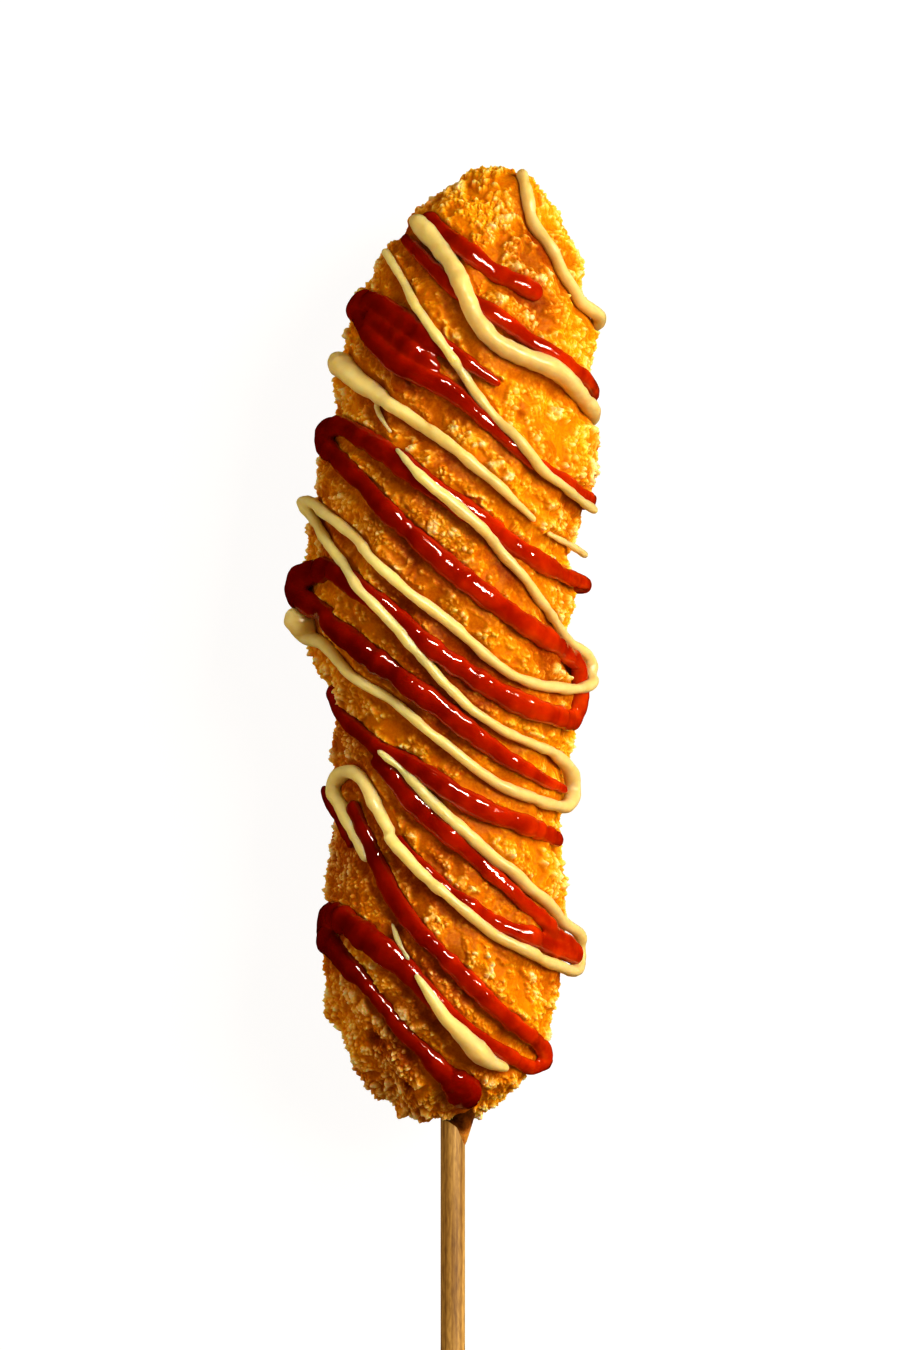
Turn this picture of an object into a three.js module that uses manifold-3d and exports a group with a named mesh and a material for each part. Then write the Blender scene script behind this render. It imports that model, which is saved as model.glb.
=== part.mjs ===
// A crumbed corn dog on a round wooden skewer, lying on its side on a small flat, with ketchup and
// mustard drizzled in zigzags over the side that faces up.
//
// Millimetres. +Z is up, +Y points from the skewer's free end to the food's tip, +X is across.
// The origin is under the middle of the whole length, on the surface that the food rests on.
// A place on the food is given by how far along it lies from the tip, and either by how far across
// it lies from the Y axis, as seen from above, or by its wrap, the angle round from the top.
import * as THREE from "three";
import { ImprovedNoise } from "three/addons/math/ImprovedNoise.js";
import { mergeVertices } from "three/addons/utils/BufferGeometryUtils.js";
import Module from "manifold-3d";

const wasm = await Module();
wasm.setup();

// ---- Driving dimensions ----
const FOOD_LENGTH = 158.5;
const SKEWER_DIAMETER = 4.1;
const SKEWER_LENGTH = 200;
const SKEWER_OUT = 80; // length that shows outside the food
const SKEWER_ACROSS = 1.3; // the skewer's axis lies a little right of the Y axis
const SKEWER_HEIGHT = 18.6;
const SKEWER_CHAMFER = 0.35;
const SKEWER_SIDES = 18;
const FIT_GAP = 0.3; // between the skewer and its hole

const TIP_Y = (FOOD_LENGTH + SKEWER_OUT) / 2;

// Half the food's width, and how far its middle lies across, at stations along it from the tip.
const HALF_WIDTHS = [
  [0, 21.2], [30, 21.4], [41, 21.0], [50, 22.8], [62, 22.0], [75, 22.0], [97, 19.6], [108, 19.0],
  [118, 19.1], [130, 20.0], [142, 19.3], [FOOD_LENGTH, 19.3],
];
const MIDDLES = [
  [0, 8.2], [12, 6.1], [30, 3.8], [41, 3.0], [50, 2.0], [64, -0.7], [78, -1.1], [88, 1.5],
  [104, 0.6], [118, 0.5], [128, -0.3], [142, -0.1], [FOOD_LENGTH, 0.4],
];
const TIP_CAP = { length: 35, inner: 1.72, outer: 1.75 }; // a pointed round end
const BASE_CAP = { length: 26, inner: 2, outer: 2 }; // an elliptical round end
const HEIGHT_SHARE = 0.95; // the food's height over its width
const FLAT_DEPTH = 0.9; // how much of the round underside is pressed flat

// Crags of the crumb crust: rolling lumps, finer crumbs, and single knobs that stand out.
const LUMP = { size: 6, height: 0.7 };
const CRUMB = { size: 2.6, height: 0.9 };
const NOISE_START = [1.3, 4, 8.1]; // picks one crust out of the many that the noise can make
const KNOBS = [
  { along: 3, wrap: 10, height: 0.9, radius: 3.5 },
  { along: 37, wrap: -85, height: 0.9, radius: 3 },
  { along: 45, wrap: 88, height: 1.5, radius: 2.5 },
  { along: 60, wrap: -88, height: 1.1, radius: 4 },
  { along: 119, wrap: -86, height: 0.9, radius: 3 },
  { along: 147, wrap: 84, height: 0.9, radius: 3 },
  { along: 152.5, wrap: -80, height: 1.4, radius: 3 },
];
const RINGS = 50;
const RING_SIDES = 36;
const CROWDING = 0.25; // how much closer a ring's sides lie on top than below

// The batter that crept down the skewer.
const COLLAR = { along: 154, length: 8.5, radius: 4.2, lip: 0.35, across: 0.7, sides: 14 };

// ---- Drizzle ----
// A line of sauce is a list of strokes. A stroke runs from one place [across, along] to another.
// Its bends are how far it bows aside in one, two, three ... half waves, and its widths are spread
// evenly from its start to its end. turn is how far the sauce swings out past a stroke's end
// before it comes back in the next stroke, or the places that it passes out of sight on the side.
const KETCHUP = { height: 0.4, step: 6, lines: [
  [{
    from: [-3.5, 8], to: [16.3, 21.7], bends: [1.3, 0.1],
    widths: [2.7, 3.2, 3.2, 3.0, 2.2],
  }],
  [
    {
      from: [-7.2, 11.5], to: [25.2, 36.3], bends: [1.4, 0.5],
      widths: [2, 2.8, 2.7, 2.7, 1.8], turn: [[31, 42], [33, 51], [30, 59]],
    },
    {
      from: [25.2, 55.8], to: [-14.7, 24.5], bends: [-1.6, 0.4, -0.9, 0.5],
      widths: [2, 2.2, 3, 4, 3], turn: 0.6,
    },
    {
      from: [-12.5, 22.3], to: [9.2, 36.7], bends: [0.1, 0.1],
      widths: [3.7, 4.3, 3.8, 2.3, 1],
    },
  ],
  [
    {
      from: [26.5, 70], to: [-17.5, 43], bends: [-1.5, -0.8, -0.2, -0.3],
      widths: [2, 3.2, 3.4, 3.7, 3.3], turn: 1.8,
    },
    {
      from: [-18.3, 48.3], to: [22.5, 82.3], bends: [2, 0],
      widths: [3.2, 3.3, 3.6, 3.5, 3.3], turn: 2,
    },
    {
      from: [22.5, 92.3], to: [-20, 66.7], bends: [-2.5, -1, 0, -0.2],
      widths: [3.3, 3.7, 3.3, 3.3, 4], turn: 3,
    },
    {
      from: [-21.5, 73.5], to: [20, 103.7], bends: [1.5, -0.1, 0.4],
      widths: [3.6, 4.5, 3.7, 3.1, 1.5],
    },
  ],
  [{
    from: [-19.8, 86.2], to: [22.6, 113.6], bends: [3.9, 0.8, 0.6, 0.5],
    widths: [1.7, 2.3, 3.4, 3.4, 2.2],
  }],
  [
    {
      from: [-11.7, 97.8], to: [22, 131], bends: [0.5, 0.6, 0.2],
      widths: [2.7, 3.8, 2.6, 2.4, 2], turn: 1,
    },
    {
      from: [20, 130.3], to: [-8.3, 111.2], bends: [-2.7, 0.2],
      widths: [2.4, 2.7, 2.7, 2.3, 1.7],
    },
  ],
  [{
    from: [-20.5, 103], to: [-15.8, 113.3], bends: [0.2],
    widths: [2, 1.9, 1.8, 1.5, 1],
  }],
  [
    {
      from: [-15.5, 105.3], to: [15.8, 145.8], bends: [4.3, 0.5, 0.1, -0.2],
      widths: [2.7, 3.6, 3.3, 3.9, 3.7], turn: 3.2,
    },
    {
      from: [12.5, 149.2], to: [-19.5, 124.8], bends: [0.6, -0.4],
      widths: [2.7, 2.3, 3, 3.8, 3], turn: 0.8,
    },
    {
      from: [-18.3, 129.5], to: [3.5, 154.2], bends: [1.3, -0.7],
      widths: [3.3, 2.8, 1.9, 3.1, 5.6],
    },
  ],
] };
const MUSTARD = { height: 0.74, step: 6, lines: [
  [
    {
      from: [12, 1.7], to: [25.8, 24.8], bends: [1.6],
      widths: [2.3, 2.2, 2.2, 2.2, 1.5], turn: [[30.5, 32], [32.5, 39], [29, 43.5]],
    },
    {
      from: [24.4, 39], to: [-5, 8.8], bends: [-3.2, -0.4, 1.2, 0.3],
      widths: [2, 3.3, 3.6, 4, 4.2],
    },
  ],
  [{
    from: [-9.6, 14.2], to: [25.6, 57], bends: [3.8, -0.6, 0.4, 0.1],
    widths: [1.3, 2, 2, 2.1, 1.7],
  }],
  [{
    from: [24.5, 64.5], to: [16.3, 60.8], bends: [0],
    widths: [1.4, 1.5, 1.5, 1.3, 1],
  }],
  [{
    from: [-18.8, 31.8], to: [14.7, 59], bends: [-0.9, 0.6, 0.2, 0.1],
    widths: [4.5, 2.9, 2.5, 2.3, 1],
  }],
  [{
    from: [-11.7, 39.5], to: [-8.7, 44.8], bends: [0.2],
    widths: [1.4, 1.1, 0.9, 0.8, 0.6],
  }],
  [
    {
      from: [-8, 47.3], to: [22.2, 80], bends: [-1.1, -0.1, 0.3, 0.1],
      widths: [0.8, 2.3, 2, 2, 1.8], turn: 2,
    },
    {
      from: [24, 86], to: [-23.3, 55.3], bends: [-3.9, -1.5, -0.6, -0.6],
      widths: [2.6, 2.4, 2.6, 2.4, 1.8], turn: 1,
    },
    {
      from: [-23.7, 57.3], to: [18.6, 97.6], bends: [4.5, -0.1, 0.6],
      widths: [1.8, 2, 2.2, 1.7, 2.4], turn: 2,
    },
    {
      from: [20.4, 106.2], to: [-22.5, 79], bends: [-2.3, -0.8, -0.5],
      widths: [3, 2.5, 2.3, 2.1, 1.8], turn: 2,
    },
    {
      from: [-24.5, 77], to: [-26, 73], bends: [0],
      widths: [3, 3.4, 3.6, 3.6, 3],
    },
  ],
  [
    {
      from: [-10.3, 96.7], to: [22.2, 129.2], bends: [0.2, 0.5, -0.1],
      widths: [0.8, 1.7, 1.8, 2.2, 2.8], turn: 2,
    },
    {
      from: [20.8, 133.7], to: [-13.3, 103.7], bends: [-5.9, -0.1, -0.2],
      widths: [2.8, 2.2, 2.3, 2.5, 2.3], turn: 4,
    },
    {
      from: [-18.3, 104.5], to: [-12.8, 116.2], bends: [-0.3],
      widths: [2, 2, 2.2, 2, 0.6],
    },
  ],
  [{
    from: [-9.2, 125.3], to: [-5.8, 131.7], bends: [0.2],
    widths: [0.6, 0.9, 1, 0.9, 0.6],
  }],
  [{
    from: [-4.8, 133.7], to: [10.5, 150], bends: [1.5, -0.4, 0.1, -0.2],
    widths: [0.8, 1.9, 2.3, 3.2, 1],
  }],
] };
// The section of a line of sauce: shares of its width aside, and of its height above the crust.
const SAUCE_SECTION = [[-0.64, -1], [-0.34, 1], [0.34, 1], [0.64, -1]];
const SAUCE_SUNK = 3.4; // its underside is fused this deep into the crust
const SAUCE_LIFT = 0.4; // the whole line lies this much higher than its own height
const OVERHANG = 0.6; // how far a turn stands off the side for each mm that it reaches past the outline
const OVERHANG_END = 4; // a line farther past the outline than this lies close again
const END_WIDTH = 0.6; // the share of its width that a line has at its ends
const TURN_SWELL = 1.3; // how much wider a line is at a turn than beside it
const TURN_OVERLAP = 0.35; // how far two strokes overlap at a turn, as a share of a step

const CRUST_MATERIAL = new THREE.MeshStandardMaterial({ color: 0xd98a1c, roughness: 0.7, metalness: 0 });
const WOOD_MATERIAL = new THREE.MeshStandardMaterial({ color: 0xc9985c, roughness: 0.75, metalness: 0 });

// ---- The food's smooth form ----
// The value at a place along, on a smooth curve through [along, value] stations.
function through(stations, along) {
  const last = stations.length - 1;
  let i = 0;
  while (i < last - 1 && along > stations[i + 1][0]) i += 1;
  const slope = (k) => {
    const [a, b] = [stations[Math.max(k - 1, 0)], stations[Math.min(k + 1, last)]];
    return (b[1] - a[1]) / (b[0] - a[0]);
  };
  const [from, to] = [stations[i], stations[i + 1]];
  const span = to[0] - from[0];
  const t = THREE.MathUtils.clamp((along - from[0]) / span, 0, 1);
  const [t2, t3] = [t * t, t * t * t];
  return (2 * t3 - 3 * t2 + 1) * from[1] + (t3 - 2 * t2 + t) * span * slope(i)
    + (3 * t2 - 2 * t3) * to[1] + (t3 - t2) * span * slope(i + 1);
}

// How far a round end has opened, 0 at the very end and 1 where it is as wide as the food.
function opened(cap, distance) {
  const left = 1 - THREE.MathUtils.clamp(distance / cap.length, 0, 1);
  return (1 - left ** cap.inner) ** (1 / cap.outer);
}

function crossSection(along) {
  const fullWidth = through(HALF_WIDTHS, along);
  const share = opened(TIP_CAP, along) * opened(BASE_CAP, FOOD_LENGTH - along);
  const halfWidth = fullWidth * share;
  return {
    middle: through(MIDDLES, along),
    halfWidth,
    halfHeight: HEIGHT_SHARE * halfWidth,
    height: HEIGHT_SHARE * fullWidth - FLAT_DEPTH,
  };
}

function smoothPoint(along, wrap) {
  const s = crossSection(along);
  return new THREE.Vector3(
    s.middle + s.halfWidth * Math.sin(wrap),
    TIP_Y - along,
    s.height + s.halfHeight * Math.cos(wrap),
  );
}

const STEP = 0.25; // for slopes, in mm
function smoothNormal(along, wrap) {
  const a = THREE.MathUtils.clamp(along, STEP, FOOD_LENGTH - STEP);
  const down = smoothPoint(a + STEP, wrap).sub(smoothPoint(a - STEP, wrap));
  const round = smoothPoint(a, wrap + 0.02).sub(smoothPoint(a, wrap - 0.02));
  return round.cross(down).negate().normalize();
}

// How far a place lies past the outline as seen from above, and its wrap. What lies past the
// outline carries on down the side.
function placeAt(across, along) {
  const s = crossSection(along);
  const aside = across - s.middle;
  const over = Math.max(Math.abs(aside) - s.halfWidth, 0);
  if (over === 0) return { over, wrap: Math.asin(aside / s.halfWidth) };
  return { over, wrap: Math.sign(aside) * (Math.PI / 2 + over / s.halfHeight) };
}

// ---- The crust ----
const noise = new ImprovedNoise();
function bumps({ size, height }, p) {
  const [x, y, z] = NOISE_START;
  return height * 2 * noise.noise(p.x / size + x, p.y / size + y, p.z / size + z);
}

function crag(point) {
  let out = bumps(LUMP, point) + bumps(CRUMB, point);
  for (const knob of KNOBS) {
    const centre = smoothPoint(knob.along, THREE.MathUtils.degToRad(knob.wrap));
    const away = point.distanceTo(centre) / knob.radius;
    out += knob.height * Math.exp(-away * away);
  }
  return out;
}

function crustPoint(along, wrap) {
  const point = smoothPoint(along, wrap);
  point.addScaledVector(smoothNormal(along, wrap), crag(point));
  point.z = Math.max(point.z, 0);
  return point;
}

// Places along the food for its rings, at even distances over the surface.
function ringPlaces(count) {
  const samples = 2000;
  const reach = [0];
  for (let i = 1; i <= samples; i += 1) {
    const [a, b] = [(i - 1) / samples, i / samples].map((t) => smoothPoint(t * FOOD_LENGTH, Math.PI / 2));
    reach.push(reach[i - 1] + a.distanceTo(b));
  }
  const places = [];
  for (let ring = 1, i = 0; ring <= count; ring += 1) {
    const wanted = (reach[samples] * ring) / (count + 1);
    while (reach[i] < wanted) i += 1;
    places.push((i / samples) * FOOD_LENGTH);
  }
  return places;
}

// A closed skin over rings of points, with a point at each end.
function skinOver(rings, start, end) {
  const sides = rings[0].length;
  const points = [start, ...rings.flat(), end];
  const at = (ring, side) => 1 + ring * sides + (side % sides);
  const faces = [];
  for (let side = 0; side < sides; side += 1) {
    faces.push([0, at(0, side), at(0, side + 1)]);
    for (let ring = 0; ring < rings.length - 1; ring += 1) {
      faces.push([at(ring, side), at(ring + 1, side), at(ring + 1, side + 1)]);
      faces.push([at(ring, side), at(ring + 1, side + 1), at(ring, side + 1)]);
    }
    faces.push([points.length - 1, at(rings.length - 1, side + 1), at(rings.length - 1, side)]);
  }
  return new THREE.BufferGeometry().setFromPoints(points).setIndex(faces.flat());
}

function crustGeometry() {
  const rings = ringPlaces(RINGS).map((along, ring) => {
    const twist = ring % 2 ? 0.5 : 0;
    return Array.from({ length: RING_SIDES }, (_, side) => {
      const turn = (2 * Math.PI * (side + twist)) / RING_SIDES;
      return crustPoint(along, turn - CROWDING * Math.sin(turn));
    });
  });
  return skinOver(rings, crustPoint(0, 0), crustPoint(FOOD_LENGTH, 0));
}

// ---- The drizzle ----
// The value that a list spread evenly from 0 to 1 has at t.
function spread(values, t) {
  const place = t * (values.length - 1);
  const i = Math.min(Math.floor(place), values.length - 2);
  return THREE.MathUtils.lerp(values[i], values[i + 1], place - i);
}

// Points (across, along, width) down a stroke, about a step apart.
function strokePoints(stroke, step) {
  const from = new THREE.Vector2(...stroke.from);
  const way = new THREE.Vector2(...stroke.to).sub(from);
  const aside = new THREE.Vector2(-way.y, way.x).normalize();
  const count = Math.max(2, Math.round(way.length() / step));
  return Array.from({ length: count + 1 }, (_, i) => {
    const t = i / count;
    const bow = stroke.bends.reduce((sum, bend, k) => sum + bend * Math.sin((k + 1) * Math.PI * t), 0);
    const p = from.clone().addScaledVector(way, t).addScaledVector(aside, bow);
    return new THREE.Vector3(p.x, p.y, spread(stroke.widths, t));
  });
}

// The outermost point of the turn between two strokes, or the places that the turn passes.
function turnPoints({ to, widths, turn }, next) {
  const width = TURN_SWELL * (widths.at(-1) + next.widths[0]) / 2;
  if (Array.isArray(turn)) return turn.map((place) => new THREE.Vector3(...place, width));
  const farthest = Math.sign(to[0]) * (Math.max(Math.abs(to[0]), Math.abs(next.from[0])) + turn);
  return [new THREE.Vector3(farthest, (to[1] + next.from[1]) / 2, width)];
}

// A free end of a line, narrower than the line beside it.
function drawnIn(end) {
  return end.setZ(end.z * END_WIDTH);
}

// The routes of a line of sauce, one for each of its strokes. All follow one smooth curve, and
// where the line turns, two routes overlap.
function routesOf(strokes, step) {
  const controls = [];
  const breaks = [0];
  strokes.forEach((stroke, index) => {
    controls.push(...strokePoints(stroke, step));
    const next = strokes[index + 1];
    const turn = next ? turnPoints(stroke, next) : [];
    breaks.push(controls.length - 1 + Math.ceil(turn.length / 2));
    controls.push(...turn);
  });
  const curve = new THREE.CatmullRomCurve3(controls, false, "centripetal");
  const at = (place) => curve.getPoint(place / (controls.length - 1));
  return strokes.map((_, index) => {
    const [first, last] = [breaks[index], breaks[index + 1]];
    const route = [];
    for (let place = first + 1; place < last; place += 1) route.push(at(place));
    if (index > 0) route.unshift(at(first - TURN_OVERLAP), at(first + TURN_OVERLAP));
    else route.unshift(drawnIn(at(first)));
    if (index < strokes.length - 1) route.push(at(last - TURN_OVERLAP), at(last + TURN_OVERLAP / 2));
    else route.push(drawnIn(at(last)));
    return route;
  });
}

function sauceGeometry(sauce, route) {
  const onCrust = route.map((p) => {
    const { over, wrap } = placeAt(p.x, p.y);
    const out = smoothNormal(p.y, wrap);
    const point = smoothPoint(p.y, wrap);
    const lift = bumps(LUMP, point) + SAUCE_LIFT + OVERHANG * over * Math.max(1 - over / OVERHANG_END, 0);
    return { point: point.addScaledVector(out, lift), out, width: p.z };
  });
  const rings = onCrust.map(({ point, out, width }, i) => {
    const before = onCrust[Math.max(i - 1, 0)].point;
    const after = onCrust[Math.min(i + 1, onCrust.length - 1)].point;
    const side = out.clone().cross(after.clone().sub(before)).normalize();
    return SAUCE_SECTION.map(([aside, up]) => point.clone()
      .addScaledVector(side, aside * width)
      .addScaledVector(out, up > 0 ? up * width * sauce.height : up * SAUCE_SUNK));
  });
  const middleOf = (ring) => ring
    .reduce((sum, p) => sum.add(p), new THREE.Vector3()).divideScalar(ring.length);
  return skinOver(rings, middleOf(rings[0]), middleOf(rings.at(-1)));
}

// ---- The skewer, its hole and its collar ----
// A round bar along Y from one place to another, drawn in at its free end by a chamfer.
function roundBar(radius, fromY, toY, chamfer, sides) {
  const length = toY - fromY;
  const profile = [[0, 0], [radius - chamfer, 0], [radius, chamfer], [radius, length], [0, length]];
  return new THREE.LatheGeometry(profile.map(([r, y]) => new THREE.Vector2(r, y)), sides)
    .translate(SKEWER_ACROSS, fromY, SKEWER_HEIGHT);
}

function collarGeometry() {
  const { along, length, radius, lip, across, sides } = COLLAR;
  const rim = SKEWER_DIAMETER / 2 + FIT_GAP + lip;
  const profile = [[0, -length], [rim, -length], [(rim + radius) / 2.2, -length / 2], [radius, 0], [0, 0]];
  const shape = new THREE.LatheGeometry(profile.map(([r, y]) => new THREE.Vector2(r, y)), sides);
  const place = shape.getAttribute("position");
  for (let i = 0; i < place.count; i += 1) { // it leans across towards the food
    place.setX(i, place.getX(i) + across * (1 + place.getY(i) / length));
  }
  return shape.translate(SKEWER_ACROSS, TIP_Y - along, SKEWER_HEIGHT);
}

// ---- Solids ----
function solidOf(geometry) {
  const bare = geometry.clone();
  bare.deleteAttribute("normal");
  bare.deleteAttribute("uv");
  const merged = mergeVertices(bare, 1e-3);
  return new wasm.Manifold(new wasm.Mesh({
    numProp: 3,
    vertProperties: new Float32Array(merged.getAttribute("position").array),
    triVerts: new Uint32Array(merged.index.array),
  }));
}

// The largest piece of a solid: hollows sealed inside it are filled and loose scraps dropped.
// It is made anew first, since a hollow can hang on to the outside by a single point.
function wholeOf(solid) {
  const pieces = solidOf(geometryOf(solid)).decompose();
  return pieces.reduce((best, piece) => (piece.volume() > best.volume() ? piece : best));
}

function geometryOf(solid) {
  const { vertProperties, triVerts } = solid.getMesh();
  const shape = new THREE.BufferGeometry();
  shape.setAttribute("position", new THREE.BufferAttribute(vertProperties, 3));
  shape.setIndex(new THREE.BufferAttribute(triVerts, 1));
  shape.computeVertexNormals();
  return shape;
}

function foodMesh() {
  let food = solidOf(crustGeometry()).add(solidOf(collarGeometry()));
  for (const sauce of [KETCHUP, MUSTARD]) {
    for (const route of sauce.lines.flatMap((strokes) => routesOf(strokes, sauce.step))) {
      food = food.add(solidOf(sauceGeometry(sauce, route)));
    }
  }
  const holeEnd = TIP_Y - (FOOD_LENGTH + SKEWER_OUT - SKEWER_LENGTH) + FIT_GAP;
  const outside = TIP_Y - FOOD_LENGTH - 2 * COLLAR.length;
  const hole = roundBar(SKEWER_DIAMETER / 2 + FIT_GAP, outside, holeEnd, 0, SKEWER_SIDES);
  const mesh = new THREE.Mesh(geometryOf(wholeOf(food.subtract(solidOf(hole)))), CRUST_MATERIAL);
  mesh.name = "crusted_sausage";
  return mesh;
}

function skewerMesh() {
  const bar = roundBar(SKEWER_DIAMETER / 2, -TIP_Y, SKEWER_LENGTH - TIP_Y, SKEWER_CHAMFER, SKEWER_SIDES);
  const mesh = new THREE.Mesh(bar, WOOD_MATERIAL);
  mesh.name = "skewer";
  return mesh;
}

const cornDog = new THREE.Group();
cornDog.add(foodMesh(), skewerMesh());

export default cornDog;
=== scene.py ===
"""A crumbed corn dog on a round wooden skewer, lying on its side, with ketchup and mustard drizzled
in zigzags over the side that faces up.

Shapes are worked out in millimetres and written to the meshes in metres. A place on the food is
given by how far along it lies from the tip, and either by how far across it lies as seen from
above, or by its wrap, the angle round from the top.
"""
import math
from collections import namedtuple

import bmesh
import bpy
import numpy as np
from mathutils import Matrix, Vector, noise
from mathutils.kdtree import KDTree


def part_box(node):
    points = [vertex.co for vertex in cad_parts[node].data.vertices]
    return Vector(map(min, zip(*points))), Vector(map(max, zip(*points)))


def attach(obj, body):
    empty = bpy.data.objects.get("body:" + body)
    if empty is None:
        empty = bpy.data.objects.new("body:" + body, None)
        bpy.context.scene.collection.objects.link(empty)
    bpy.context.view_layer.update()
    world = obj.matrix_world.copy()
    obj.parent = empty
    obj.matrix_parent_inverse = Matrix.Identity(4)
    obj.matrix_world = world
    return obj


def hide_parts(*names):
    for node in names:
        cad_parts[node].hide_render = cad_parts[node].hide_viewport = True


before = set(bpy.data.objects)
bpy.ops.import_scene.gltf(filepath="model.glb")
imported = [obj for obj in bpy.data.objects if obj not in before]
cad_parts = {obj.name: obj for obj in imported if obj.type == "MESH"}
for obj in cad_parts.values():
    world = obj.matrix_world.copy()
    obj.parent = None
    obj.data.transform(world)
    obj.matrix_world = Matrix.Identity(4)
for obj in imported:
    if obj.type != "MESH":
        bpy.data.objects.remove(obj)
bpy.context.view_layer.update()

MM = 0.001
NOISE_SEED = 7
noise.seed_set(NOISE_SEED)  # unseeded, noise_vector would differ from run to run

# ---- Sizes of the food, in mm ----
FOOD_LENGTH = 158.5
SKEWER_DIAMETER = 4.1
SKEWER_OUT = 80.0
SKEWER_ACROSS = 1.3
SKEWER_HEIGHT = 18.6
TIP_Y = (FOOD_LENGTH + SKEWER_OUT) / 2

# Half the food's width, and how far across its middle lies: (along, value).
HALF_WIDTHS = [
    (0, 21.2), (30, 21.4), (41, 21.0), (50, 22.8), (62, 22.0), (75, 22.0), (97, 19.6), (108, 19.0),
    (118, 19.1), (130, 20.0), (142, 19.3), (FOOD_LENGTH, 19.3),
]
MIDDLES = [
    (0, 8.2), (12, 6.1), (30, 3.8), (41, 3.0), (50, 2.0), (64, -0.7), (78, -1.1), (88, 1.5),
    (104, 0.6), (118, 0.5), (128, -0.3), (142, -0.1), (FOOD_LENGTH, 0.4),
]
# The food's two round ends: (length, inner power, outer power), where 2 and 2 make an ellipse.
TIP_CAP = (35.0, 1.72, 1.75)
BASE_CAP = (26.0, 2.0, 2.0)
HEIGHT_SHARE = 0.95  # the food's height over its width
FLAT_DEPTH = 0.9  # how much of the round underside is pressed flat

# Knobs of the crust: (along, wrap in degrees, height, radius).
KNOBS = [
    (3, 10, 0.9, 3.5), (37, -85, 0.9, 3), (45, 88, 1.5, 2.5), (60, -88, 1.1, 4), (119, -86, 0.9, 3),
    (147, 84, 0.9, 3), (152.5, -80, 1.4, 3), (141, -86, 0.9, 1.3), (146, -88, 0.8, 1.4),
    (150, -84, 1.0, 1.3), (154.3, -86, 1.2, 1.3), (156.6, -84, 2.2, 1.5), (158.0, -88, 1.9, 1.7),
]
KNOB_REACH = 3  # radii past which a knob is left out

# Dents in the crust, coloured darker towards their middles: (across, along, radius, depth).
DENTS = [(-12.0, 145.5, 2.2, 2.0), (-6.3, 153.4, 1.6, 1.5)]
DENT_REACH = 2.2  # radii past which a dent is left out
DENT_FALL = 1.6  # how fast its depth falls off from its middle

# Smooth flat chips of batter: (across, along, radius, how brown).
CHIPS = [
    (17.6, 47.3, 2.1, 0.45), (-7.6, 36.2, 1.9, 0.9), (-1.5, 24.5, 1.6, 0.3), (13.0, 40.5, 1.5, 0.2),
    (-14.0, 63.0, 1.5, 0.8), (4.5, 66.5, 1.3, 0.5), (-11.5, 118.5, 1.5, 0.6),
    (15.5, 120.5, 1.4, 0.35),
]
CHIP_HEIGHT = 0.45
CHIP_RIM = 0.6  # over which a chip falls off to the crust

# Rings of the batter that crept down the skewer: (along, across, radius).
COLLAR_RINGS = [
    (152, 1.9, 5.4), (155, 1.9, 4.3), (157, 1.9, 3.3), (158, 2.0, 2.9), (159, 2.15, 2.5),
    (160, 2.4, 1.95), (161.2, 2.4, 1.6), (162.4, 2.3, 1.3), (163.4, 1.9, 1.2),
]
COLLAR_SIDES = 48

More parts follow.
